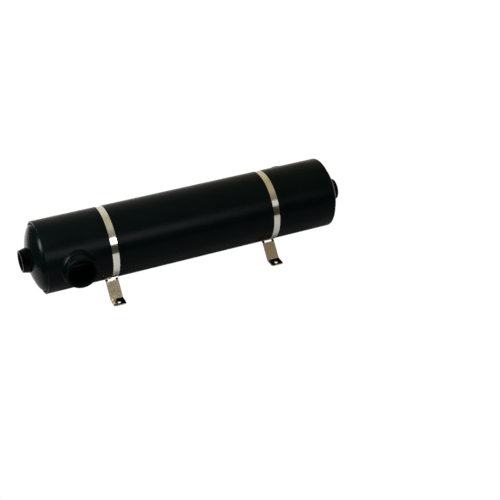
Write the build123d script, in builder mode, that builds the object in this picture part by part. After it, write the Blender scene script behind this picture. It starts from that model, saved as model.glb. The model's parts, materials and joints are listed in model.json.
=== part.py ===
"""Shell and tube heat exchanger on two strapped saddle brackets.
Millimetres, +X along the shell, +Z up, origin on the floor under the middle of the shell."""
import math
import os

from build123d import *

os.makedirs("parts", exist_ok=True)

# shell
shell_length = 594.0
shell_radius = 70.0
shell_wall = 3.5
floor_gap = 28.4

# end caps, glued inside the ends of the shell
cap_seat = 6.0
cap_skirt = 20.0
cap_wall = 4.0
cap_gap = 1.5
cap_rise = 27.0
cap_knuckle = 16.0
knuckle_facets = 2
crown_facets = 2

# end nozzles
nozzle_radius = 21.0
nozzle_reach = 33.4
nozzle_foot = 1.5
nozzle_wall = 3.5
nozzle_sleeve_wall = 1.4
mouth_step = 1.0
sleeve_gap = 2.0

# side ports, one to the front and one to the rear
port_inset = 60.0
port_radius = 32.0
port_rise = 16.0
port_foot = 5.0
port_wall = 6.9

# tube bundle
plate_thickness = 6.0
bundle_clearance = 7.5
tube_rows = 7
tube_share = 13 / 35
tube_wall = 0.6
tube_sides = 6
tube_stand_out = 2.0
baffle_count = 5
baffle_end_bay = 125.0
baffle_thickness = 3.0
rod_clearance = 0.02

# straps and their screw locks
strap_inset = 130.5
strap_width = 12.7
strap_thickness = 0.8
strap_clearance = 0.1
slot_lead = 4.2
lock_angle = 75.0
lock_width = 14.4
lock_length = 17.0
lock_base = 1.6
lock_cover = 1.6
lock_cover_length = 11.0
screw_radius = 3.4
screw_lift = 1.2

# saddle brackets
bracket_width = 25.0
bracket_sheet = 2.0
saddle_angle = 24.0
leg_angle = 39.0
bracket_bend = 3.0
flange_length = 21.5
flange_corner = 6.0
foot_hole_radius = 3.25
foot_hole_inset = 13.2
slot_width = 16.0
slot_depth = 5.5
slot_reach = 4.5

# values that follow from the sizes above
half_length = shell_length / 2
shell_bore = shell_radius - shell_wall
axis_height = shell_radius + floor_gap
cap_start = half_length - cap_seat
skirt_end = cap_start - cap_skirt
cap_radius = shell_bore - cap_gap
nozzle_end = half_length + nozzle_reach
sleeve_radius = nozzle_radius - nozzle_wall
nozzle_bore_radius = sleeve_radius - nozzle_sleeve_wall
port_x = half_length - port_inset
port_reach = shell_radius + port_rise
port_bore_radius = port_radius - port_wall
strap_offset = half_length - strap_inset
cap_inner_radius = cap_radius - cap_wall
plate_start = skirt_end - plate_thickness
tube_pitch = (shell_bore - bundle_clearance) / (tube_rows // 2 + tube_share)
tube_radius = tube_share * tube_pitch
row_pitch = tube_pitch * math.sqrt(3) / 2
baffle_spacing = 2 * (plate_start - baffle_end_bay) / (baffle_count - 1)
rod_thickness = row_pitch - 2 * tube_radius - 2 * rod_clearance
saddle_radius = shell_radius + bracket_sheet


def save(piece, label):
    """Names a finished piece and writes its file."""
    piece.part.label = label
    export_step(piece.part, "parts/" + label + ".step")


def side_name(side):
    """The end of the shell a mirrored piece belongs to."""
    return "left" if side < 0 else "right"


def end_plane(side):
    """A sketch plane whose first axis points out of one end of the shell and whose second axis points up."""
    return Plane(origin=(0, 0, axis_height), x_dir=(side, 0, 0), z_dir=(0, -side, 0))


def port_plane(side):
    """A plane at the side port's place on the shell's axis, facing out of the port."""
    return Plane(origin=(side * port_x, 0, axis_height), x_dir=(1, 0, 0), z_dir=(0, side, 0))


# outer shell, a black tube open at both ends with a round hole for each side port
across = Plane(origin=(0, 0, axis_height), x_dir=(0, 1, 0), z_dir=(1, 0, 0))
shell_axis = Axis((0, 0, axis_height), (1, 0, 0))
with BuildPart() as shell:
    with BuildSketch(across):
        Circle(shell_radius)
        Circle(shell_bore, mode=Mode.SUBTRACT)
    extrude(amount=half_length, both=True)
    for side in (-1, 1):
        with BuildSketch(port_plane(side)):
            Circle(port_bore_radius)
        extrude(amount=shell_radius + shell_wall, mode=Mode.SUBTRACT)
save(shell, "shell")

# domed end caps, a crown and a knuckle round a glued skirt, with a flat land for the nozzle
land_radius = nozzle_radius + nozzle_foot
knuckle_centre = cap_radius - cap_knuckle
crown_radius = (cap_rise**2 + knuckle_centre**2 - cap_knuckle**2) / (2 * (cap_rise - cap_knuckle))
crown_centre = cap_start + cap_rise - crown_radius
crown_turn = math.degrees(math.asin(knuckle_centre / (crown_radius - cap_knuckle)))
land_turn = math.degrees(math.asin(land_radius / crown_radius))
land_x = crown_centre + math.sqrt(crown_radius**2 - land_radius**2)
dome = []
for step in range(crown_facets):
    turn = math.radians(land_turn + (crown_turn - land_turn) * step / crown_facets)
    dome.append((crown_centre + crown_radius * math.cos(turn), crown_radius * math.sin(turn)))
for step in range(knuckle_facets + 1):
    turn = math.radians(crown_turn + (90 - crown_turn) * step / knuckle_facets)
    dome.append((cap_start + cap_knuckle * math.cos(turn), knuckle_centre + cap_knuckle * math.sin(turn)))
with BuildPart() as end_caps:
    for side in (-1, 1):
        with BuildSketch(end_plane(side)):
            with BuildLine():
                Polyline(
                    *dome,
                    (cap_start, shell_bore),
                    (skirt_end, shell_bore),
                    (skirt_end, cap_inner_radius),
                    (cap_start, cap_inner_radius),
                    (land_x - cap_wall, land_radius),
                    (land_x - cap_wall, sleeve_radius),
                    (land_x, sleeve_radius),
                    close=True,
                )
            make_face()
        revolve(axis=shell_axis)
save(end_caps, "end_caps")

# end nozzles, short sockets with a spread foot on the land of each cap
with BuildPart() as nozzles:
    for side in (-1, 1):
        with BuildSketch(end_plane(side)):
            with BuildLine():
                Polyline(
                    (land_x, sleeve_radius),
                    (nozzle_end, sleeve_radius),
                    (nozzle_end, nozzle_radius),
                    (land_x + nozzle_foot, nozzle_radius),
                    (land_x, land_radius),
                    close=True,
                )
            make_face()
        revolve(axis=shell_axis)
save(nozzles, "nozzles")

# metal sleeves through the nozzles and caps, up to the space before the tube plates
with BuildPart() as nozzle_sleeves:
    for side in (-1, 1):
        with BuildSketch(across.offset(side * (skirt_end + sleeve_gap))):
            Circle(sleeve_radius)
            Circle(nozzle_bore_radius, mode=Mode.SUBTRACT)
        extrude(amount=side * (nozzle_end - mouth_step - skirt_end - sleeve_gap))
save(nozzle_sleeves, "nozzle_sleeves")

# side ports, each with a foot spread onto the round of the shell
with BuildPart() as side_ports:
    for side in (-1, 1):
        with BuildSketch(across.offset(side * port_x)):
            Circle(shell_radius)
        extrude(amount=port_radius + 2 * port_foot, both=True)
        with BuildSketch(port_plane(side)):
            Circle(port_radius)
        extrude(amount=port_reach)
    roots = side_ports.edges().filter_by(GeomType.BSPLINE)
    chamfer(roots.filter_by(lambda edge: abs(edge.center().Y) > port_radius), port_foot)
    for side in (-1, 1):
        with BuildSketch(across.offset(side * port_x)):
            Circle(shell_radius)
        extrude(amount=port_radius + 3 * port_foot, both=True, mode=Mode.SUBTRACT)
        with BuildSketch(port_plane(side)):
            Circle(port_bore_radius)
        extrude(amount=port_reach, mode=Mode.SUBTRACT)
save(side_ports, "side_ports")


def row_places(row):
    """Places of the tubes in one level row of the six-sided bundle, the rows counted from the bottom."""
    level = row - tube_rows // 2
    count = tube_rows - abs(level)
    return [((number - (count - 1) / 2) * tube_pitch, level * row_pitch) for number in range(count)]


# tube plates, one behind each end cap, with the tubes and their holes drawn six-sided
with BuildPart() as tube_plates:
    for side in (-1, 1):
        with BuildSketch(across.offset(side * plate_start)):
            Circle(shell_bore)
            for row in range(tube_rows):
                with Locations(*row_places(row)):
                    RegularPolygon(tube_radius, tube_sides, major_radius=False, mode=Mode.SUBTRACT)
        extrude(amount=side * plate_thickness)
save(tube_plates, "tube_plates")

# straight tubes, one node to each level row
for row in range(tube_rows):
    with BuildPart() as tubes:
        with BuildSketch(across):
            with Locations(*row_places(row)):
                RegularPolygon(tube_radius, tube_sides, major_radius=False)
                RegularPolygon(tube_radius - tube_wall, tube_sides, major_radius=False, mode=Mode.SUBTRACT)
        extrude(amount=skirt_end + tube_stand_out, both=True)
    save(tubes, "tube_row_" + str(row + 1))

# rod baffles, sets of flat rods across the shell between the rows of tubes
for number in range(baffle_count):
    middle = (number - (baffle_count - 1) / 2) * baffle_spacing
    with BuildPart() as rod_baffle:
        with BuildSketch(across.offset(middle - baffle_thickness / 2)):
            for gap in range(tube_rows - 1):
                height = (gap - (tube_rows - 2) / 2) * row_pitch
                edge = abs(height) + rod_thickness / 2
                with Locations((0, height)):
                    Rectangle(2 * math.sqrt(shell_bore**2 - edge**2), rod_thickness)
        extrude(amount=baffle_thickness)
    save(rod_baffle, "rod_baffle_" + str(number + 1))

# saddle brackets, each one bent sheet with a saddle under the shell, two legs and two flanges
saddle_turn = math.radians(saddle_angle)
lean = math.radians(leg_angle)


def section_point(along, angle, inward=0.0, start=(0.0, 0.0)):
    """A point of the cross section, from a start outward at an angle from straight down to the front."""
    y = start[0] - along * math.sin(angle) + inward * math.cos(angle)
    z = start[1] - along * math.cos(angle) - inward * math.sin(angle)
    return (y, z)


leg_top = section_point(shell_radius, saddle_turn)
back_top = section_point(0, lean, bracket_sheet, leg_top)
back_along = -back_top[0] * math.sin(lean) - back_top[1] * math.cos(lean)
back_apart = back_top[0] * math.cos(lean) - back_top[1] * math.sin(lean)
saddle_root = section_point(math.sqrt(saddle_radius**2 - back_apart**2) - back_along, lean, 0, back_top)
leg_back = section_point((axis_height + back_top[1]) / math.cos(lean), lean, 0, back_top)
leg_front = section_point((axis_height - bracket_sheet + leg_top[1]) / math.cos(lean), lean, 0, leg_top)
flange_tip = leg_front[0] - flange_length
slot_middle = section_point(shell_radius + (slot_depth - bracket_sheet) / 2, saddle_turn, slot_reach / 2)
for side in (-1, 1):
    with BuildPart() as bracket:
        with BuildSketch(across.offset(side * strap_offset)) as sheet:
            with BuildLine():
                Polyline(saddle_root, leg_back, (flange_tip, -axis_height), (flange_tip, leg_front[1]), leg_front, leg_top)
                ThreePointArc(leg_top, (0, -shell_radius), (-leg_top[0], leg_top[1]))
                Polyline(
                    (-leg_top[0], leg_top[1]),
                    (-leg_front[0], leg_front[1]),
                    (-flange_tip, leg_front[1]),
                    (-flange_tip, -axis_height),
                    (-leg_back[0], leg_back[1]),
                    (-saddle_root[0], saddle_root[1]),
                )
                ThreePointArc((-saddle_root[0], saddle_root[1]), (0, -saddle_radius), saddle_root)
            make_face()
            for mirrored in (1, -1):
                outer_bends = [leg_top, leg_back]
                inner_bends = [saddle_root, leg_front]
                for y, z in outer_bends:
                    fillet(sheet.vertices().sort_by_distance((mirrored * y, z))[0], bracket_bend + bracket_sheet)
                for y, z in inner_bends:
                    fillet(sheet.vertices().sort_by_distance((mirrored * y, z))[0], bracket_bend)
        extrude(amount=bracket_width / 2, both=True)
        corners = bracket.edges().filter_by(Axis.Z)
        fillet(corners, flange_corner)
        for foot in (-1, 1):
            with BuildSketch(Plane.XY):
                with Locations((side * strap_offset, foot * (abs(leg_front[0]) + foot_hole_inset))):
                    Circle(foot_hole_radius)
            extrude(amount=2 * bracket_sheet, mode=Mode.SUBTRACT)
            slot_place = Plane(
                origin=(side * strap_offset, -foot * slot_middle[0], axis_height + slot_middle[1]),
                x_dir=(1, 0, 0),
                z_dir=(0, foot * math.sin(saddle_turn), -math.cos(saddle_turn)),
            )
            with BuildSketch(slot_place):
                Rectangle(slot_width, slot_reach + 2 * bracket_sheet + 1)
            extrude(amount=(slot_depth + bracket_sheet) / 2, both=True, mode=Mode.SUBTRACT)
    save(bracket, side_name(side) + "_bracket")

# straps, closed bands that pass through the brackets' slots and under their saddles
band_out = math.radians(saddle_angle + slot_lead)
band_in = math.radians(saddle_angle - slot_lead)
with BuildPart() as straps:
    for side in (-1, 1):
        with BuildSketch(across.offset(side * strap_offset)):
            for grow, mode in ((strap_thickness, Mode.ADD), (0.0, Mode.SUBTRACT)):
                high = shell_radius + strap_clearance + grow
                low = saddle_radius + strap_clearance + grow
                front_high = section_point(high, band_out)
                front_low = section_point(low, band_in)
                rear_high = (-front_high[0], front_high[1])
                rear_low = (-front_low[0], front_low[1])
                with BuildLine():
                    ThreePointArc(front_high, (0, high), rear_high)
                    Line(rear_high, rear_low)
                    ThreePointArc(rear_low, (0, -low), front_low)
                    Line(front_low, front_high)
                make_face(mode=mode)
        extrude(amount=strap_width / 2, both=True)
save(straps, "straps")

# screw locks at the back of the straps, a round-topped housing on a base that follows the band
lock_lean = math.radians(lock_angle)
band_radius = shell_radius + strap_clearance + strap_thickness
lock_y, lock_z = section_point(band_radius, -lock_lean)
screw_height = screw_radius + screw_lift
cover_radius = screw_radius + lock_cover
with BuildPart() as strap_locks:
    for side in (-1, 1):
        lock_plane = Plane(
            origin=(side * strap_offset, lock_y, axis_height + lock_z),
            x_dir=(1, 0, 0),
            z_dir=(0, math.cos(lock_lean), math.sin(lock_lean)),
        )
        with BuildSketch(lock_plane):
            Rectangle(lock_width, 2 * lock_base)
        extrude(amount=lock_length / 2, both=True)
        with BuildSketch(lock_plane):
            with Locations((0, screw_height)):
                Circle(cover_radius)
            Rectangle(2 * cover_radius, 2 * screw_height)
        extrude(amount=lock_cover_length / 2, both=True)
        with BuildSketch(across.offset(side * strap_offset)):
            Circle(band_radius)
        extrude(amount=lock_width, both=True, mode=Mode.SUBTRACT)
save(strap_locks, "strap_locks")
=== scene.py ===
import json
import math

import bmesh
import bpy
from mathutils import Matrix, Vector

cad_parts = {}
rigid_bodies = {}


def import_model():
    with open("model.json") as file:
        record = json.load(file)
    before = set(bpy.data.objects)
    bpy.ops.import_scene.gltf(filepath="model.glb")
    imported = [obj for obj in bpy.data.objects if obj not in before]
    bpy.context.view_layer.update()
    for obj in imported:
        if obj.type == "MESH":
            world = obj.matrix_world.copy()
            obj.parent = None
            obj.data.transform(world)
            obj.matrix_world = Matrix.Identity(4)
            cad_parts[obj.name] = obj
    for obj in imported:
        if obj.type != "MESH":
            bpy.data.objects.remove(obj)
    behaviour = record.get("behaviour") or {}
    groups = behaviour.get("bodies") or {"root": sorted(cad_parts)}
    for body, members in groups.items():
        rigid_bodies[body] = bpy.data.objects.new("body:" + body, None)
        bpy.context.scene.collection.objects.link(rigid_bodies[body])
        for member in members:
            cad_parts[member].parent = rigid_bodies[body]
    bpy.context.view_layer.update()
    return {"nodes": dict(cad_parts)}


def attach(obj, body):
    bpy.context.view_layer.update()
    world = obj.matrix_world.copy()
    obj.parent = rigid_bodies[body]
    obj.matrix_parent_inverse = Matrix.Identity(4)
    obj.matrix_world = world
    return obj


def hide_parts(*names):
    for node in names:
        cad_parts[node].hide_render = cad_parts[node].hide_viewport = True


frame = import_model()

# Outer shell. A length of black plastic pipe, cut square at both ends with its rims eased. It is
# opened at the front left and the rear right, where the side ports are welded over the holes.
axis_height = 0.0984
shell_radius = 0.070
shell_bore = 0.0665
half_length = 0.297
rim_round = 0.00025
port_x = 0.237
port_lining_radius = 0.0270
port_patch = 0.0285
longest_rim_edge = 0.004
rim_edge_cuts = 15
same_place = 1e-6


def corners_of(parts):
    """Picks the corners out of the parts that an operator gives back."""
    return [part for part in parts if isinstance(part, bmesh.types.BMVert)]


def whole(mesh):
    """All corners, edges and faces of a mesh."""
    return mesh.verts[:] + mesh.edges[:] + mesh.faces[:]


def corner_at(mesh, along, out, joined=None):
    """Adds a corner of a turned profile, along the axis and out from it, joined to the one before."""
    corner = mesh.verts.new((along, 0, axis_height + out))
    if joined is not None:
        mesh.edges.new((joined, corner))
    return corner


def draw_profile(mesh, places):
    """Draws a closed profile through places along the axis and out from it."""
    corners = []
    for along, out in places:
        corners.append(corner_at(mesh, along, out, corners[-1] if corners else None))
    mesh.edges.new((corners[-1], corners[0]))
    return corners


def curve_on(mesh, corner, along, out, turn, steps):
    """Carries a profile on in a curve round a centre, by a turn in degrees towards the rim."""
    centre = (along, 0, axis_height + out)
    curve = bmesh.ops.spin(
        mesh, geom=[corner], cent=centre, axis=(0, -1, 0), angle=math.radians(turn), steps=steps
    )
    return corners_of(curve["geom_last"])[0]


def round_corners(mesh, corners, width, steps):
    """Rounds corners of a profile or of a flat sheet."""
    bmesh.ops.bevel(
        mesh, geom=corners, offset=width, segments=steps, profile=0.5, affect="VERTICES", material=-1
    )


def turn_round(mesh, steps):
    """Turns the whole profile once round the shell's axis."""
    profile = mesh.verts[:] + mesh.edges[:]
    centre = (0, 0, axis_height)
    bmesh.ops.spin(
        mesh, geom=profile, cent=centre, axis=(1, 0, 0), angle=math.tau, steps=steps, use_merge=True
    )
    bmesh.ops.remove_doubles(mesh, verts=mesh.verts[:], dist=same_place)


def repeat_at_far_end(mesh):
    """Copies a piece from one end of the exchanger to the other, half a turn about the upright."""
    copy = bmesh.ops.duplicate(mesh, geom=whole(mesh))
    half_turn = Matrix.Rotation(math.pi, 3, "Z")
    bmesh.ops.rotate(mesh, verts=corners_of(copy["geom"]), cent=(0, 0, 0), matrix=half_turn)


def cut_plane(mesh, place, line):
    """Cuts every face of a piece along a plane."""
    bmesh.ops.bisect_plane(mesh, geom=whole(mesh), plane_co=place, plane_no=line)


def cut_away(mesh, middle, is_inside):
    """Deletes the faces whose centre, measured from a middle, lies inside an outline."""
    faces = [face for face in mesh.faces if is_inside(face.calc_center_median() - middle)]
    bmesh.ops.delete(mesh, geom=faces, context="FACES")


def open_for_port(mesh, side):
    """Cuts the round hole for one side port through both faces of the pipe and joins their rims."""
    middle = Vector((side * port_x, 0, axis_height))
    for line in (Vector((1, 0, 0)), Vector((0, 0, 1))):
        for way in (1, -1):
            cut_plane(mesh, middle + port_patch * way * line, line)

    def in_patch(spot):
        """Tells whether a spot, measured from the port's middle, lies in the square round the hole."""
        return abs(spot.x) < port_patch and abs(spot.z) < port_patch and spot.y * side > 0

    cut_away(mesh, middle, in_patch)
    rims = [edge for edge in mesh.edges if edge.is_boundary]
    long_rims = [edge for edge in rims if edge.calc_length() > longest_rim_edge]
    bmesh.ops.subdivide_edges(mesh, edges=long_rims, cuts=rim_edge_cuts)
    rims = [edge for edge in mesh.edges if edge.is_boundary]
    drawn = bmesh.ops.extrude_edge_only(mesh, edges=rims)["geom"]
    for corner in corners_of(drawn):
        spot = corner.co - middle
        out = math.hypot(spot.y, spot.z)
        wall = min((shell_radius, shell_bore), key=lambda radius: abs(out - radius))
        turn = math.atan2(spot.z, spot.x)
        up = port_lining_radius * math.sin(turn)
        across = side * math.sqrt(wall**2 - up**2)
        corner.co = middle + Vector((port_lining_radius * math.cos(turn), across, up))
    new_rims = [part for part in drawn if isinstance(part, bmesh.types.BMEdge)]
    bmesh.ops.bridge_loops(mesh, edges=new_rims)


def finish_piece(name, mesh, material, slot, *nodes, crease=38):
    """Makes a modelled mesh into a piece of the exchanger that stands for its CAD nodes."""
    bmesh.ops.remove_doubles(mesh, verts=mesh.verts[:], dist=same_place)
    bmesh.ops.recalc_face_normals(mesh, faces=mesh.faces[:])
    for face in mesh.faces:
        face.smooth = True
    for edge in mesh.edges:
        edge.smooth = edge.calc_face_angle(0.0) < math.radians(crease)
    skin = bpy.data.meshes.new(name)
    mesh.to_mesh(skin)
    mesh.free()
    skin.materials.append(material)
    piece = bpy.data.objects.new(name, skin)
    bpy.context.scene.collection.objects.link(piece)
    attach(piece, "root")
    if nodes:
        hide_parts(*nodes)
    return piece


def new_material(name):
    """Makes a material and gives it back with its shader and its object coordinates."""
    material = bpy.data.materials.new(name)
    material.use_nodes = True
    nodes = material.node_tree.nodes
    shader = nodes["Principled BSDF"]
    place = nodes.new("ShaderNodeTexCoord")
    return material, shader, place.outputs["Object"]


def add_node(material, kind, inputs=None, **settings):
    """Adds a shader node, with its settings, and wires or sets its inputs."""
    node = material.node_tree.nodes.new(kind)
    for key, value in settings.items():
        setattr(node, key, value)
    for key, value in (inputs or {}).items():
        if isinstance(value, bpy.types.NodeSocket):
            material.node_tree.links.new(value, node.inputs[key])
        else:
            node.inputs[key].default_value = value
    return node


def wire(material, source, target):
    """Joins an output to an input in a material."""
    material.node_tree.links.new(source, target)


def mixed_tone(material, factor, first, second, **settings):
    """Mixes two colours by a factor and gives back the output."""
    # a Mix node has sockets for each kind of data, and these three are its colours
    first_colour = 6
    second_colour = 7
    colour_result = 2
    inputs = {"Factor": factor, first_colour: first, second_colour: second}
    return add_node(material, "ShaderNodeMix", inputs, data_type="RGBA", **settings).outputs[colour_result]


def relief(material, pattern, scale, detail, strength, depth, under=None):
    """Adds a fine relief from noise, over an earlier one if there is one, and gives back its normal."""
    noise = add_node(material, "ShaderNodeTexNoise", {"Vector": pattern, "Scale": scale, "Detail": detail})
    inputs = {"Height": noise.outputs["Fac"], "Strength": strength, "Distance": depth}
    if under is not None:
        inputs["Normal"] = under
    return add_node(material, "ShaderNodeBump", inputs).outputs["Normal"]


def drawn_out(material, place, scale):
    """Stretches the object coordinates, so that a pattern on them turns into lines."""
    return add_node(material, "ShaderNodeMapping", {"Vector": place, "Scale": scale}).outputs["Vector"]


class Effect:
    """A node group under construction, which takes the same calls as a material."""

    def __init__(self, name, inputs, outputs):
        self.node_tree = bpy.data.node_groups.new(name, "ShaderNodeTree")
        for label, kind, value in inputs:
            socket = self.node_tree.interface.new_socket(label, in_out="INPUT", socket_type=kind)
            if value is not None:
                socket.default_value = value
        for label, kind in outputs:
            self.node_tree.interface.new_socket(label, in_out="OUTPUT", socket_type=kind)
        self.start = self.node_tree.nodes.new("NodeGroupInput")
        self.end = self.node_tree.nodes.new("NodeGroupOutput")


# Handling marks are faint cloudy patches that change the gloss a little, as on any part that is held.
handling = Effect(
    "handling_marks",
    [("Place", "NodeSocketVector", None), ("Size", "NodeSocketFloat", 30.0),
     ("Least", "NodeSocketFloat", 0.3), ("Most", "NodeSocketFloat", 0.4)],
    [("Roughness", "NodeSocketFloat"), ("Cloud", "NodeSocketFloat")],
)
given = handling.start.outputs
cloud = add_node(handling, "ShaderNodeTexNoise", {
    "Vector": given["Place"], "Scale": given["Size"], "Detail": 5.0, "Roughness": 0.55,
})
spread = add_node(handling, "ShaderNodeMapRange", {
    "Value": cloud.outputs["Fac"], "From Min": 0.3, "From Max": 0.7,
    "To Min": given["Least"], "To Max": given["Most"],
})
wire(handling, spread.outputs["Result"], handling.end.inputs["Roughness"])
wire(handling, cloud.outputs["Fac"], handling.end.inputs["Cloud"])


def marked_material(name, first_tone, second_tone, mark_size, least_rough, most_rough):
    """Makes a material whose colour and gloss drift between two values with the handling marks."""
    material, shader, place = new_material(name)
    marks = add_node(
        material, "ShaderNodeGroup",
        {"Place": place, "Size": mark_size, "Least": least_rough, "Most": most_rough},
        node_tree=handling.node_tree,
    )
    tone = mixed_tone(material, marks.outputs["Cloud"], first_tone, second_tone)
    wire(material, tone, shader.inputs["Base Color"])
    wire(material, marks.outputs["Roughness"], shader.inputs["Roughness"])
    return material, shader, place


def black_plastic(name, deep, lifted, rough, lines):
    """Moulded plastic, nearly dead black with a cold green in it, a fine grain and faint lines."""
    material, shader, place = marked_material(
        name, deep, lifted, mark_size=22.0, least_rough=rough - 0.03, most_rough=rough + 0.05
    )
    grain = relief(material, place, scale=900.0, detail=3.0, strength=0.10, depth=0.0002)
    pattern = drawn_out(material, place, lines)
    normal = relief(material, pattern, scale=1.0, detail=4.0, strength=0.22, depth=0.0006, under=grain)
    wire(material, normal, shader.inputs["Normal"])
    shader.inputs["IOR"].default_value = 1.14
    return material


pipe_black = black_plastic(
    "black_pipe_plastic", deep=(0.0001, 0.0007, 0.0007, 1), lifted=(0.0003, 0.0011, 0.0011, 1),
    rough=0.28, lines=(2.0, 160.0, 160.0),
)
mesh = bmesh.new()
wall_profile = draw_profile(mesh, [
    (-half_length, shell_bore), (-half_length, shell_radius),
    (half_length, shell_radius), (half_length, shell_bore),
])
round_corners(mesh, wall_profile, rim_round, steps=3)
turn_round(mesh, steps=160)
for side in (-1, 1):
    open_for_port(mesh, side)
finish_piece("outer_shell", mesh, pipe_black, "black_moulded_plastic", "shell")

# End caps. Each is a moulded dome with a wide crown and a tight shoulder, glued inside the
# end of the shell by its skirt, so that a narrow groove is left between the dome and the rim.
cap_start = 0.291
skirt_end = 0.271
cap_radius = 0.065
cap_wall = 0.004
cap_bore = cap_radius - cap_wall
knuckle_radius = 0.016
knuckle_out = cap_radius - knuckle_radius
crown_radius = 0.13064
crown_centre = 0.18736
crown_turn = 25.31
land_radius = 0.0225
land_along = crown_centre + math.sqrt(crown_radius**2 - land_radius**2)
land_turn = math.degrees(math.asin(land_radius / crown_radius))
inner_land_turn = math.degrees(math.asin(land_radius / (crown_radius - cap_wall)))
sleeve_radius = 0.0175
cap_steps = 128

cap_black = black_plastic(
    "black_cap_plastic", deep=(0.0003, 0.0010, 0.0010, 1), lifted=(0.0006, 0.0016, 0.0015, 1),
    rough=0.24, lines=(90.0, 90.0, 90.0),
)
mesh = bmesh.new()
first = corner_at(mesh, land_along, sleeve_radius)
last = corner_at(mesh, land_along, land_radius, first)
last = curve_on(mesh, last, crown_centre, 0.0, crown_turn - land_turn, steps=10)
last = curve_on(mesh, last, cap_start, knuckle_out, 90 - crown_turn, steps=14)
last = corner_at(mesh, cap_start, shell_bore, last)
last = corner_at(mesh, skirt_end, shell_bore, last)
last = corner_at(mesh, skirt_end, cap_bore, last)
last = corner_at(mesh, cap_start, cap_bore, last)
last = curve_on(mesh, last, cap_start, knuckle_out, crown_turn - 90, steps=8)
last = curve_on(mesh, last, crown_centre, 0.0, inner_land_turn - crown_turn, steps=6)
last = corner_at(mesh, land_along - cap_wall, sleeve_radius, last)
mesh.edges.new((last, first))
turn_round(mesh, cap_steps)
repeat_at_far_end(mesh)
finish_piece("domed_caps", mesh, cap_black, "black_moulded_plastic", "end_caps")

# Seal beads. A hollow-faced fillet of black sealant, drawn with a finger into the bottom of the
# groove between each dome and the rim of the shell.
bead_size = 0.0016
bead_lap = 0.0001

sealant_black = black_plastic(
    "black_sealant", deep=(0.0004, 0.0009, 0.0009, 1), lifted=(0.0007, 0.0012, 0.0012, 1),
    rough=0.38, lines=(160.0, 160.0, 160.0),
)
mesh = bmesh.new()
first = corner_at(mesh, cap_start, cap_radius - bead_lap)
last = corner_at(mesh, cap_start, shell_bore, first)
last = corner_at(mesh, cap_start + bead_size, shell_bore, last)
last = curve_on(mesh, last, cap_start + bead_size, shell_bore - bead_size, -90, steps=6)
mesh.edges.new((last, first))
turn_round(mesh, cap_steps)
repeat_at_far_end(mesh)
finish_piece("seal_beads", mesh, sealant_black, "black_moulded_plastic")

# Nozzles. Short plain sockets of black plastic, moulded on the middle of each dome, with a
# small spread foot where they meet it and an eased mouth.
nozzle_end = 0.3304
nozzle_radius = 0.021
nozzle_lap = 0.0002
foot_radius = 0.0015
mouth_round = 0.0007

# The socket plastic is a darker copy of the black plastic: its own black, with painted shade added for the
# shaded nozzles and bores.
socket_black_painted_shade = black_plastic(
    "black_socket_plastic_painted_shade", deep=(0.0001, 0.0004, 0.0004, 1), lifted=(0.0002, 0.0006, 0.0006, 1),
    rough=0.32, lines=(60.0, 60.0, 60.0),
)
mesh = bmesh.new()
first = corner_at(mesh, land_along - nozzle_lap, sleeve_radius)
last = corner_at(mesh, land_along - nozzle_lap, land_radius, first)
last = corner_at(mesh, land_along, land_radius, last)
last = curve_on(mesh, last, land_along + foot_radius, land_radius, -90, steps=6)
outer_lip = corner_at(mesh, nozzle_end, nozzle_radius, last)
inner_lip = corner_at(mesh, nozzle_end, sleeve_radius, outer_lip)
mesh.edges.new((inner_lip, first))
round_corners(mesh, [outer_lip, inner_lip], mouth_round, steps=3)
turn_round(mesh, steps=96)
repeat_at_far_end(mesh)
finish_piece("end_sockets", mesh, socket_black_painted_shade, "black_moulded_plastic", "nozzles")

# Nozzle sleeves. Drawn metal tubes pressed through the sockets and the caps, set back a little
# from each mouth. Their metal takes the sockets' black plastic, as painted shade for the dark bores.
sleeve_bore = 0.0161
sleeve_start = 0.273
sleeve_end = 0.3294
sleeve_round = 0.0004

mesh = bmesh.new()
sleeve_profile = draw_profile(mesh, [
    (sleeve_start, sleeve_bore), (sleeve_start, sleeve_radius),
    (sleeve_end, sleeve_radius), (sleeve_end, sleeve_bore),
])
round_corners(mesh, sleeve_profile[2:], sleeve_round, steps=2)
turn_round(mesh, steps=72)
repeat_at_far_end(mesh)
finish_piece("socket_linings", mesh, socket_black_painted_shade, "bright_stainless", "nozzle_sleeves")

# Side ports. Wide plain sockets welded on the round of the shell, the front one at the left
# end and the rear one at the right end, each with a rounded fillet that follows the shell.
port_radius = 0.032
port_reach = 0.086
port_fillet = 0.005
port_lap = 0.0008
port_mouth_round = 0.0008
port_chamfer = 0.0009
fillet_steps = 8
mouth_steps = 3


def set_ring(corners, radius, height, on_shell):
    """Places a ring's corners round the front port's line, and gives back the edges between them."""
    for corner in corners:
        turn = math.atan2(corner.co.z - axis_height, corner.co.x + port_x)
        up = radius * math.sin(turn)
        reach = height + (math.sqrt(shell_radius**2 - up**2) if on_shell else 0.0)
        corner.co = (-port_x + radius * math.cos(turn), -reach, axis_height + up)
    ring = []
    for corner in corners:
        for edge in corner.link_edges:
            if edge.other_vert(corner) in corners and edge not in ring:
                ring.append(edge)
    return ring


def side_socket(mesh, rings, steps):
    """Builds a closed round wall for the front port from its rings, then its fellow at the other end."""
    middle = Matrix.Translation((-port_x, 0, axis_height))
    facing_front = Matrix.Rotation(math.pi / 2, 4, "X")
    circle = bmesh.ops.create_circle(mesh, segments=steps, radius=1.0, matrix=middle @ facing_front)
    opening = set_ring(circle["verts"], *rings[0])
    loop = opening
    for ring in rings[1:]:
        drawn = bmesh.ops.extrude_edge_only(mesh, edges=loop)["geom"]
        loop = set_ring(corners_of(drawn), *ring)
    bmesh.ops.bridge_loops(mesh, edges=opening + loop)
    repeat_at_far_end(mesh)


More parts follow.
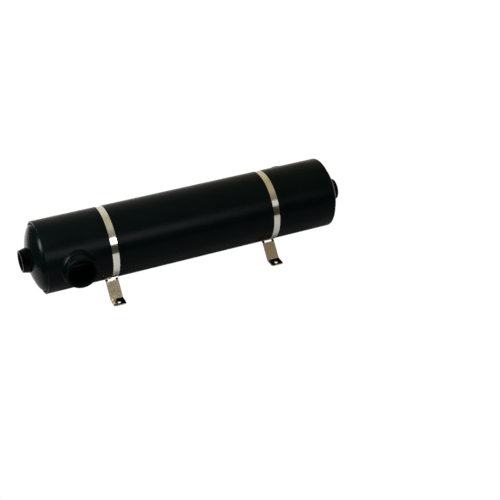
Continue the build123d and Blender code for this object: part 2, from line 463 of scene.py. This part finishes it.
# each ring is a radius, a height, and whether the height is taken from the shell's round
rings = [(port_lining_radius, -port_lap, True), (port_radius + port_fillet, -port_lap, True)]
for step in range(fillet_steps + 1):
    turn = math.radians(90 * step / fillet_steps)
    radius = port_radius + port_fillet * (1 - math.sin(turn))
    rings.append((radius, port_fillet * (1 - math.cos(turn)), True))
for step in range(mouth_steps + 1):
    turn = math.radians(90 * step / mouth_steps)
    radius = port_radius - port_mouth_round * (1 - math.cos(turn))
    rings.append((radius, port_reach - port_mouth_round * (1 - math.sin(turn)), False))
rings.append((port_lining_radius + port_chamfer, port_reach, False))
rings.append((port_lining_radius, port_reach - port_chamfer, False))
mesh = bmesh.new()
side_socket(mesh, rings, steps=96)
finish_piece("side_sockets", mesh, pipe_black, "black_moulded_plastic", "side_ports")

# Port linings. A metal tube pressed through each side port and the wall of the shell, its end
# chamfered and set back in the mouth. Its metal takes the sockets' black plastic, as painted shade for the
# dark bore.
port_bore_radius = 0.0251
port_lining_reach = 0.085
lining_chamfer = 0.0005
lining_outer_chamfer = 0.0004
inner_face = shell_bore - shell_radius

rings = [
    (port_lining_radius, inner_face, True),
    (port_lining_radius, port_lining_reach - lining_outer_chamfer, False),
    (port_lining_radius - lining_chamfer, port_lining_reach, False),
    (port_bore_radius + lining_chamfer, port_lining_reach, False),
    (port_bore_radius, port_lining_reach - lining_chamfer, False),
    (port_bore_radius, inner_face, True),
]
mesh = bmesh.new()
side_socket(mesh, rings, steps=72)
finish_piece("port_linings", mesh, socket_black_painted_shade, "bright_stainless")

# Tube plates. Round plates of thick stainless behind the caps, drilled for the tubes in a
# six-sided pattern. Inside the closed shell they are seen only in deep shade, so their steel is painted near
# black as painted shade.
plate_start = 0.265
tube_pitch = 0.0175
row_pitch = tube_pitch * math.sqrt(3) / 2
tube_radius = 0.0065
tube_rows = 7
tube_steps = 24


def tube_places(row):
    """Places of one level row of tubes across and over the axis, the rows counted from the bottom."""
    level = row - tube_rows // 2
    count = tube_rows - abs(level)
    return [((number - (count - 1) / 2) * tube_pitch, level * row_pitch) for number in range(count)]


def steel(name, tint, dull, rough, brush, lines=0.35):
    """A stainless finish with brushed lines, mill haze and a few handling marks."""
    material, shader, place = marked_material(
        name, tint, dull, mark_size=55.0, least_rough=0.8 * rough, most_rough=1.3 * rough
    )
    pattern = drawn_out(material, place, brush)
    normal = relief(material, pattern, scale=1.0, detail=3.0, strength=lines, depth=0.0002)
    wire(material, normal, shader.inputs["Normal"])
    shader.inputs["Metallic"].default_value = 1.0
    return material


plate_steel_painted_shade = steel(
    "plate_steel_painted_shade", tint=(0.05, 0.05, 0.049, 1), dull=(0.035, 0.035, 0.034, 1),
    rough=0.42, brush=(300.0, 500.0, 500.0),
)
mesh = bmesh.new()
facing_end = Matrix.Rotation(math.pi / 2, 4, "Y")
middle = Matrix.Translation((plate_start, 0, axis_height))
bmesh.ops.create_circle(mesh, segments=120, radius=shell_bore, matrix=middle @ facing_end)
for row in range(tube_rows):
    for across, height in tube_places(row):
        spot = Matrix.Translation((plate_start, across, axis_height + height))
        bmesh.ops.create_circle(mesh, segments=tube_steps, radius=tube_radius, matrix=spot @ facing_end)
bmesh.ops.triangle_fill(mesh, edges=mesh.edges[:], use_beauty=True)
raised = bmesh.ops.extrude_face_region(mesh, geom=mesh.faces[:], use_keep_orig=True)["geom"]
bmesh.ops.translate(mesh, verts=corners_of(raised), vec=(skirt_end - plate_start, 0, 0))
repeat_at_far_end(mesh)
finish_piece("drilled_plates", mesh, plate_steel_painted_shade, "bright_stainless", "tube_plates")

# Tubes. Thin steel tubes from plate to plate, their ends rolled out a little past the plates.
# Like the plates they are painted near black, as painted shade for the deep shade inside the closed shell.
tube_wall = 0.0006
tube_end = 0.273
tube_flare = 0.0005
tube_inside = tube_radius - tube_wall
rolled_radius = tube_radius + tube_flare
rolled_inside = rolled_radius - tube_wall

tube_steel = steel(
    "tube_steel_painted_shade", tint=(0.03, 0.03, 0.029, 1), dull=(0.02, 0.02, 0.019, 1),
    rough=0.45, brush=(60.0, 1500.0, 1500.0),
)
for row in range(tube_rows):
    mesh = bmesh.new()
    draw_profile(mesh, [
        (-tube_end, rolled_radius), (-skirt_end, tube_radius),
        (skirt_end, tube_radius), (tube_end, rolled_radius),
        (tube_end, rolled_inside), (skirt_end, tube_inside),
        (-skirt_end, tube_inside), (-tube_end, rolled_inside),
    ])
    turn_round(mesh, tube_steps)
    pattern = whole(mesh)
    for across, height in tube_places(row):
        copy = bmesh.ops.duplicate(mesh, geom=pattern)
        bmesh.ops.translate(mesh, verts=corners_of(copy["geom"]), vec=(0, across, height))
    bmesh.ops.delete(mesh, geom=corners_of(pattern), context="VERTS")
    finish_piece(f"tubes_row_{row + 1}", mesh, tube_steel, "bright_stainless", f"tube_row_{row + 1}")

# Rod baffles. Five sets of flat steel bars, pushed across the shell between the rows of tubes.
# They stay as packed and take the plates' near-black steel, as painted shade for the inside of the shell.
for number in range(1, 6):
    finishes = frame["nodes"][f"rod_baffle_{number}"].data.materials
    finishes.clear()
    finishes.append(plate_steel_painted_shade)

# Saddle brackets. Each is one strip of stainless sheet, bent into a saddle under the shell, two
# legs that stand out from it and two flanges with a hole, and slotted at the upper bends for its strap.
strap_offset = 0.1665
bracket_half_width = 0.0125
bracket_sheet = 0.002
saddle_turn = math.radians(24)
leg_lean = math.radians(39)
inner_bend = 0.004
outer_bend = 0.009
flange_length = 0.0215
foot_hole_radius = 0.00325
foot_hole_inset = 0.0132
foot_hole_patch = foot_hole_radius + 0.0015
foot_hole_cuts = 7
flange_corner = 0.0085
slot_half_width = 0.008
slot_foot = 0.0755
slot_head = 0.007
sheared_edge = 0.0003
margin = 1e-5

shell_middle = Vector((0, 0, axis_height))
slot_out = Vector((0, -math.sin(saddle_turn), -math.cos(saddle_turn)))
slot_in = Vector((0, math.cos(saddle_turn), -math.sin(saddle_turn)))
leg_out = Vector((0, -math.sin(leg_lean), -math.cos(leg_lean)))
leg_in = Vector((0, math.cos(leg_lean), -math.sin(leg_lean)))
leg_top = shell_middle + slot_out * shell_radius
leg_corner = leg_top + leg_out * (leg_top.z - bracket_sheet) / math.cos(leg_lean)
bend_start = leg_corner.y - inner_bend * math.tan((math.pi / 2 - leg_lean) / 2)
flange_tip = leg_corner.y - flange_length
foot_hole = Vector((0, leg_corner.y - foot_hole_inset, 0))


def swing(mesh, corner, centre, turn, steps):
    """Carries a bent strip's line on round a bend, by a turn in radians, positive from the front upwards."""
    bend = bmesh.ops.spin(mesh, geom=[corner], cent=centre, axis=(-1, 0, 0), angle=turn, steps=steps)
    return corners_of(bend["geom_last"])[0]


def draw_to(mesh, corner, place):
    """Carries a bent strip's line straight on to a place."""
    last = mesh.verts.new(place)
    mesh.edges.new((corner, last))
    return last


def widen_line(mesh, width):
    """Draws a bent strip's line out into a sheet, along the shell."""
    drawn = bmesh.ops.extrude_edge_only(mesh, edges=mesh.edges[:])["geom"]
    bmesh.ops.translate(mesh, verts=corners_of(drawn), vec=(width, 0, 0))


def bracket_strip(mesh):
    """Draws the upper face of the front half of a bracket, from the flange to under the shell."""
    left = -bracket_half_width
    start = mesh.verts.new((left, flange_tip, bracket_sheet))
    last = draw_to(mesh, start, (left, bend_start, bracket_sheet))
    centre = (0, bend_start, bracket_sheet + inner_bend)
    last = swing(mesh, last, centre, leg_lean - math.pi / 2, steps=8)
    # the upper bend touches both the leg's line and the round of the shell
    aside = leg_top - shell_middle + leg_in * outer_bend
    down = aside.dot(leg_out)
    along = math.sqrt(down**2 - aside.length_squared + (shell_radius + outer_bend) ** 2) - down
    centre = shell_middle + aside + leg_out * along
    last = draw_to(mesh, last, centre - leg_in * outer_bend + Vector((left, 0, 0)))
    lead = math.atan2(-centre.y, axis_height - centre.z)
    last = swing(mesh, last, centre, lead + math.pi / 2 - leg_lean, steps=14)
    swing(mesh, last, shell_middle, -lead, steps=12)
    widen_line(mesh, 2 * bracket_half_width)


def in_slot(spot):
    """Tells whether a spot, measured from the shell's axis, lies in the slot for the strap."""
    return abs(spot.x) < slot_half_width and spot.dot(slot_out) < slot_foot and spot.dot(slot_in) < slot_head


def cut_slot(mesh):
    """Cuts the slot for the strap through the upper bend of half a bracket."""
    for half_width in (-slot_half_width, slot_half_width):
        cut_plane(mesh, (half_width, 0, 0), (1, 0, 0))
    cut_plane(mesh, shell_middle + slot_out * slot_foot, slot_out)
    cut_plane(mesh, shell_middle + slot_in * slot_head, slot_in)
    cut_away(mesh, shell_middle, in_slot)


def by_foot_hole(spot):
    """Tells whether a spot, measured from the middle of the floor hole, lies in the patch round it."""
    reach = foot_hole_patch + margin
    return abs(spot.x) < reach and abs(spot.y) < reach and spot.z < 1.5 * bracket_sheet


def foot_hole_rim(mesh):
    """Finds the open edges of the sheet round the floor hole."""
    rim = []
    for edge in mesh.edges:
        if edge.is_boundary and all(by_foot_hole(corner.co - foot_hole) for corner in edge.verts):
            rim.append(edge)
    return rim


def cut_foot_hole(mesh):
    """Cuts the round hole for the floor screw through the flange of half a bracket."""
    for offset in (-foot_hole_patch, foot_hole_patch):
        cut_plane(mesh, (offset, 0, 0), (1, 0, 0))
        cut_plane(mesh, (0, foot_hole.y + offset, 0), (0, 1, 0))
    cut_away(mesh, foot_hole, by_foot_hole)
    bmesh.ops.subdivide_edges(mesh, edges=foot_hole_rim(mesh), cuts=foot_hole_cuts)
    drawn = bmesh.ops.extrude_edge_only(mesh, edges=foot_hole_rim(mesh))["geom"]
    for corner in corners_of(drawn):
        turn = math.atan2(corner.co.y - foot_hole.y, corner.co.x)
        corner.co.x = foot_hole_radius * math.cos(turn)
        corner.co.y = foot_hole.y + foot_hole_radius * math.sin(turn)


def flange_corners(mesh):
    """Finds the two corners at the tip of the flange."""
    tips = []
    for corner in mesh.verts:
        at_side = abs(abs(corner.co.x) - bracket_half_width) < margin
        if at_side and corner.co.y < flange_tip + margin:
            tips.append(corner)
    return tips


def ease_edges(piece, width):
    """Rounds the sheared edges of a sheet piece a little."""
    ease = piece.modifiers.new("eased_edges", "BEVEL")
    ease.width = width
    ease.segments = 2
    ease.limit_method = "ANGLE"
    ease.angle_limit = math.radians(50)


bracket_steel = steel(
    "bracket_steel", tint=(0.88, 0.83, 0.70, 1), dull=(0.78, 0.72, 0.59, 1),
    rough=0.10, brush=(2200.0, 90.0, 90.0), lines=0.12,
)
for side, name in ((-1, "left"), (1, "right")):
    mesh = bmesh.new()
    bracket_strip(mesh)
    cut_slot(mesh)
    cut_foot_hole(mesh)
    round_corners(mesh, flange_corners(mesh), flange_corner, steps=8)
    bmesh.ops.mirror(mesh, geom=whole(mesh), matrix=Matrix.Identity(4), merge_dist=margin, axis="Y")
    bmesh.ops.remove_doubles(mesh, verts=mesh.verts[:], dist=margin)
    bmesh.ops.recalc_face_normals(mesh, faces=mesh.faces[:])
    bmesh.ops.solidify(mesh, geom=mesh.faces[:], thickness=bracket_sheet)
    bmesh.ops.translate(mesh, verts=mesh.verts[:], vec=(side * strap_offset, 0, 0))
    bracket = finish_piece(
        f"{name}_saddle_bracket", mesh, bracket_steel, "strap_stainless", f"{name}_bracket", crease=50
    )
    ease_edges(bracket, sheared_edge)

# Straps. Closed bands of thin stainless strip, round the shell, in through the bracket's slots and
# under its saddle, with a run of cut slots for the worm screw behind the shell.
strap_half_width = 0.00635
strap_thickness = 0.0008
strap_inside = 0.0701
strap_low_inside = 0.0721
slot_lead = math.radians(4.2)
high_turn = saddle_turn + slot_lead
low_turn = saddle_turn - slot_lead
thread_half_width = 0.0034
thread_start = -60
thread_end = 40
thread_step = 2.08


def strap_corner(radius, turn):
    """Place on a strap's left edge at a radius, by a turn in radians from the bottom to the rear."""
    return (-strap_half_width, radius * math.sin(turn), axis_height - radius * math.cos(turn))


def in_thread(spot):
    """Tells whether a spot, measured from the shell's axis, lies in one of the slots for the worm screw."""
    turn = math.degrees(math.atan2(spot.z, spot.y))
    cuts = int((turn - thread_start) / thread_step)
    return abs(spot.x) < thread_half_width and thread_start < turn < thread_end and cuts % 2 == 1


def repeat_on_right(mesh):
    """Copies a piece from the left bracket to the right one."""
    copy = bmesh.ops.duplicate(mesh, geom=whole(mesh))
    bmesh.ops.translate(mesh, verts=corners_of(copy["geom"]), vec=(2 * strap_offset, 0, 0))


strap_steel = steel(
    "strap_steel", tint=(0.91, 0.91, 0.84, 1), dull=(0.82, 0.81, 0.73, 1),
    rough=0.13, brush=(2600.0, 40.0, 40.0), lines=0.15,
)
mesh = bmesh.new()
start = mesh.verts.new(strap_corner(strap_inside, -high_turn))
last = swing(mesh, start, shell_middle, math.tau - 2 * high_turn, steps=292)
last = draw_to(mesh, last, strap_corner(strap_low_inside, low_turn))
last = swing(mesh, last, shell_middle, 2 * low_turn, steps=28)
mesh.edges.new((last, start))
widen_line(mesh, 2 * strap_half_width)
for half_width in (-thread_half_width, thread_half_width):
    cut_plane(mesh, (half_width, 0, 0), (1, 0, 0))
cut_away(mesh, shell_middle, in_thread)
bmesh.ops.recalc_face_normals(mesh, faces=mesh.faces[:])
bmesh.ops.solidify(mesh, geom=mesh.faces[:], thickness=-strap_thickness)
bmesh.ops.translate(mesh, verts=mesh.verts[:], vec=(-strap_offset, 0, 0))
repeat_on_right(mesh)
finish_piece("strap_bands", mesh, strap_steel, "strap_stainless", "straps", crease=50)

# Strap locks. Worm-screw locks behind the shell, each a pressed cover on a base that follows the
# band, with a turned worm and a slotted hexagon head. They are drawn upright, then swung behind.
lock_turn = math.radians(75)
band_radius = 0.0709
lock_half_width = 0.0072
lock_half_length = 0.0085
base_thickness = 0.0009
cover_foot = band_radius + base_thickness / 2
cover_radius = 0.005
cover_half_length = 0.0055
cover_sheet = 0.0008
screw_line = band_radius + 0.0046
worm_radius = 0.0032
worm_threads = 9
thread_depth = 0.0007
head_radius = 0.0040
head_start = 0.0060
driver_half_width = 0.0006
driver_depth = 0.0011
driver_floor = lock_half_length - driver_depth


def lock_base(mesh):
    """Draws the plate that lies on the band and bends with it."""
    half_turn = lock_half_length / band_radius
    left = mesh.verts.new((-lock_half_width, band_radius, 0))
    right = draw_to(mesh, left, (lock_half_width, band_radius, 0))
    back = Matrix.Rotation(-half_turn, 3, "X")
    bmesh.ops.rotate(mesh, verts=[left, right], cent=(0, 0, 0), matrix=back)
    line = mesh.verts[:] + mesh.edges[:]
    bmesh.ops.spin(mesh, geom=line, cent=(0, 0, 0), axis=(1, 0, 0), angle=2 * half_turn, steps=10)
    bmesh.ops.recalc_face_normals(mesh, faces=mesh.faces[:])
    raised = bmesh.ops.extrude_face_region(mesh, geom=mesh.faces[:], use_keep_orig=True)["geom"]
    for corner in corners_of(raised):
        out = Vector((0, corner.co.y, corner.co.z)).normalized()
        corner.co += base_thickness * out


def lock_cover(mesh):
    """Draws the pressed cover over the worm, open at both ends."""
    base_faces = set(mesh.faces)
    start = mesh.verts.new((-cover_radius, cover_foot, -cover_half_length))
    side = draw_to(mesh, start, (-cover_radius, screw_line, -cover_half_length))
    centre = (0, screw_line, -cover_half_length)
    arch = bmesh.ops.spin(mesh, geom=[side], cent=centre, axis=(0, 0, -1), angle=math.pi, steps=16)
    side = corners_of(arch["geom_last"])[0]
    draw_to(mesh, side, (cover_radius, cover_foot, -cover_half_length))
    outline = [edge for edge in mesh.edges if not edge.link_faces]
    drawn = bmesh.ops.extrude_edge_only(mesh, edges=outline)["geom"]
    bmesh.ops.translate(mesh, verts=corners_of(drawn), vec=(0, 0, 2 * cover_half_length))
    cover = [face for face in mesh.faces if face not in base_faces]
    bmesh.ops.recalc_face_normals(mesh, faces=cover)
    bmesh.ops.solidify(mesh, geom=cover, thickness=cover_sheet)


def worm(mesh):
    """Draws the worm's toothed outline and turns it once round the screw's line."""
    base = mesh.verts.new((0, screw_line, -head_start))
    last = draw_to(mesh, base, (0, screw_line + worm_radius - thread_depth, -head_start))
    for number in range(1, 2 * worm_threads + 1):
        depth = 0.0 if number % 2 else thread_depth
        height = head_start * (number / worm_threads - 1)
        last = draw_to(mesh, last, (0, screw_line + worm_radius - depth, height))
    draw_to(mesh, last, (0, screw_line, head_start))
    profile = [edge for edge in mesh.edges if not edge.link_faces]
    corners = [corner for corner in mesh.verts if not corner.link_faces]
    centre = (0, screw_line, 0)
    bmesh.ops.spin(
        mesh, geom=corners + profile, cent=centre, axis=(0, 0, 1), angle=math.tau, steps=20, use_merge=True
    )


def hexagon(mesh):
    """Makes a flat six-sided face across the screw's line."""
    place = Matrix.Translation((0, screw_line, 0))
    circle = bmesh.ops.create_circle(mesh, segments=6, radius=head_radius, cap_ends=True, matrix=place)
    return circle["verts"][0].link_faces[0]


def raise_face(mesh, face, start, end):
    """Lifts a flat face along the screw to a start height and draws it up to an end height."""
    bmesh.ops.translate(mesh, verts=face.verts[:], vec=(0, 0, start))
    raised = bmesh.ops.extrude_face_region(mesh, geom=[face], use_keep_orig=True)["geom"]
    bmesh.ops.translate(mesh, verts=corners_of(raised), vec=(0, 0, end - start))


def screw_head(mesh):
    """Builds the hexagon head, whose upper part is two halves with the driver slot between them."""
    raise_face(mesh, hexagon(mesh), head_start, driver_floor)
    for half in (-1, 1):
        face = hexagon(mesh)
        parts = [*face.verts, *face.edges, face]
        slot_side = (half * driver_half_width, 0, 0)
        bmesh.ops.bisect_plane(
            mesh, geom=parts, plane_co=slot_side, plane_no=(-half, 0, 0), clear_outer=True
        )
        for face in mesh.faces[:]:
            if all(abs(corner.co.z) < same_place for corner in face.verts):
                raise_face(mesh, face, driver_floor, lock_half_length)


mesh = bmesh.new()
lock_base(mesh)
lock_cover(mesh)
worm(mesh)
screw_head(mesh)
swing_behind = Matrix.Rotation(lock_turn - math.pi / 2, 3, "X")
bmesh.ops.rotate(mesh, verts=mesh.verts[:], cent=(0, 0, 0), matrix=swing_behind)
bmesh.ops.translate(mesh, verts=mesh.verts[:], vec=(-strap_offset, 0, axis_height))
repeat_on_right(mesh)
finish_piece("worm_locks", mesh, strap_steel, "strap_stainless", "strap_locks", crease=35)

# Camera. It stands in front of the exchanger, above it and to the left of its middle.
picture_width = 500
focal_pixels = 1132.28
sensor_width = 36.0
camera_place = (-0.6867, -1.7820, 1.2416)
camera_turn = Matrix.Rotation(math.radians(-24.892), 4, "Z")
camera_tilt = Matrix.Rotation(math.radians(57.689), 4, "X")

camera = bpy.data.cameras.new("photo_camera")
camera.sensor_width = sensor_width
camera.lens = sensor_width * focal_pixels / picture_width
viewer = bpy.data.objects.new("photo_camera", camera)
bpy.context.scene.collection.objects.link(viewer)
viewer.matrix_world = Matrix.Translation(camera_place) @ camera_turn @ camera_tilt
bpy.context.scene.camera = viewer

# Floor. A plain sheet under the bracket flanges that ends in front and at the left. It is white for
# the camera, while reflections see a grey that is lighter behind the exchanger.
floor_half = 3.0
floor_left = -0.47
floor_front = -0.70
white_level = 1.02
# The grey that reflections see is painted shade and light: dark in front of the exchanger and lighter behind
# it.
floor_grey = {"From Min": 0.02, "From Max": 0.16, "To Min": 0.18, "To Max": 0.50}


def by_ray(material, for_camera, for_others):
    """Mixes two shaders, one for what the camera sees and one for light and reflections."""
    ray = add_node(material, "ShaderNodeLightPath")
    inputs = {0: ray.outputs["Is Camera Ray"], 1: for_others, 2: for_camera}
    return add_node(material, "ShaderNodeMixShader", inputs).outputs[0]


floor_material, floor_shader, floor_place = new_material("pale_floor")
floor_line = add_node(floor_material, "ShaderNodeSeparateXYZ", {"Vector": floor_place})
floor_tone = add_node(floor_material, "ShaderNodeMapRange", {"Value": floor_line.outputs["Y"], **floor_grey})
wire(floor_material, floor_tone.outputs["Result"], floor_shader.inputs["Base Color"])
floor_shader.inputs["Roughness"].default_value = 0.9
floor_shader.inputs["Specular IOR Level"].default_value = 0.0
floor_white = add_node(floor_material, "ShaderNodeEmission", {"Strength": white_level})
floor_seen = by_ray(floor_material, floor_white.outputs[0], floor_shader.outputs[0])
wire(floor_material, floor_seen, floor_material.node_tree.nodes["Material Output"].inputs["Surface"])
mesh = bmesh.new()
floor_middle = Matrix.Translation((floor_left + floor_half, floor_front + floor_half, 0))
bmesh.ops.create_grid(mesh, x_segments=1, y_segments=1, size=floor_half, matrix=floor_middle)
sheet = bpy.data.meshes.new("floor")
mesh.to_mesh(sheet)
mesh.free()
sheet.materials.append(floor_material)
floor = bpy.data.objects.new("floor", sheet)
bpy.context.scene.collection.objects.link(floor)

# Lights. Two wide suns fill the shadows, and three soft boxes give the long stripe on the shell and
# the lights on the dome and the straps. The soft boxes leave out what looks black from outside: the
# bundle, the linings and the end sockets.
box_turn = math.radians(30)
box_far = 1.6
box_y = -box_far * math.cos(box_turn)
box_z = axis_height + box_far * math.sin(box_turn)
front_box_x = -0.115
side_box_x = 1.17
dark_pieces = (
    "tubes_row", "rod_baffle", "drilled_plates", "end_sockets", "socket_linings", "port_linings"
)

left_out = bpy.data.collections.new("inside_the_shell")
for piece in bpy.data.objects:
    if piece.name.startswith(dark_pieces):
        left_out.objects.link(piece)
for member in left_out.collection_objects:
    member.light_linking.link_state = "EXCLUDE"


def lamp(name, kind, place, aim, power, **settings):
    """Adds a lamp at a place, turned to aim at a point."""
    light = bpy.data.lights.new(name, kind)
    light.energy = power
    for key, value in settings.items():
        setattr(light, key, value)
    body = bpy.data.objects.new(name, light)
    bpy.context.scene.collection.objects.link(body)
    turn = (Vector(aim) - Vector(place)).to_track_quat("-Z", "Y")
    body.matrix_world = Matrix.Translation(place) @ turn.to_matrix().to_4x4()
    body.visible_camera = False
    return body


def fill_sun(name, place, strength, spread):
    """Adds a wide sun that shows in no reflection."""
    sun = lamp(name, "SUN", place, (0, 0, 0), strength, angle=math.radians(spread))
    sun.visible_glossy = False


def soft_box(name, place, aim, power, width, height):
    """Adds an oblong lamp that leaves the dark pieces out."""
    box = lamp(name, "AREA", place, aim, power, shape="RECTANGLE", size=width, size_y=height)
    box.light_linking.receiver_collection = left_out


fill_sun("overhead_fill", place=(0.4, 0.6, 3.0), strength=3.0, spread=80)
fill_sun("front_fill", place=(-0.6, -2.6, 1.3), strength=2.6, spread=60)
soft_box("front_soft_box", place=(front_box_x, box_y, box_z), aim=(front_box_x, 0, axis_height),
         power=9.0, width=1.47, height=0.50)
soft_box("left_soft_box", place=(-1.245, -0.20, 1.235), aim=(-0.27, 0, 0.11),
         power=60.0, width=0.5, height=0.9)
soft_box("side_soft_box", place=(side_box_x, box_y, box_z), aim=(side_box_x, 0, axis_height),
         power=0.85, width=1.1, height=0.50)

# World. It is white for the camera. Reflections see a room that grows lighter from front to rear,
# and that is dark at the left and warmer at the right.
world = bpy.data.worlds.new("studio")
bpy.context.scene.world = world
world.use_nodes = True
way = add_node(world, "ShaderNodeTexCoord")
lines = add_node(world, "ShaderNodeSeparateXYZ", {"Vector": way.outputs["Generated"]})


def room_ramp(line, stops):
    """Adds a ramp of tones along one line of the room and gives back its colour."""
    whole_line = {"From Min": -1.0, "From Max": 1.0}
    level = add_node(world, "ShaderNodeMapRange", {"Value": lines.outputs[line], **whole_line})
    ramp = add_node(world, "ShaderNodeValToRGB", {"Fac": level.outputs["Result"]})
    bands = ramp.color_ramp.elements
    first, *between, last = stops
    for band, (spot, tone) in ((bands[0], first), (bands[1], last)):
        band.position = spot
        band.color = (*tone, 1)
    for spot, tone in between:
        band = bands.new(spot)
        band.color = (*tone, 1)
    return ramp.outputs["Color"]


front_to_rear = room_ramp("Y", [
    (0.05, (0.035, 0.033, 0.022)), (0.10, (0.05, 0.045, 0.035)), (0.148, (0.215, 0.18, 0.12)),
    (0.26, (0.33, 0.31, 0.26)), (0.35, (0.48, 0.46, 0.37)), (0.55, (0.48, 0.44, 0.31)),
    (0.65, (0.46, 0.43, 0.31)), (0.74, (0.56, 0.53, 0.41)), (0.84, (0.64, 0.61, 0.53)),
    (0.98, (0.72, 0.72, 0.68)),
])
left_to_right = room_ramp("X", [
    (0.275, (0.08, 0.08, 0.08)), (0.425, (1, 1, 1)), (0.63, (1, 1, 1)), (0.69, (0.80, 0.71, 0.54)),
])
room = world.node_tree.nodes["Background"]
room_tone = mixed_tone(world, 1.0, front_to_rear, left_to_right, blend_type="MULTIPLY")
wire(world, room_tone, room.inputs["Color"])
backdrop = add_node(world, "ShaderNodeBackground", {"Color": (1, 1, 1, 1)})
world_seen = by_ray(world, backdrop.outputs[0], room.outputs[0])
wire(world, world_seen, world.node_tree.nodes["World Output"].inputs["Surface"])
bpy.context.scene.view_settings.view_transform = "Standard"
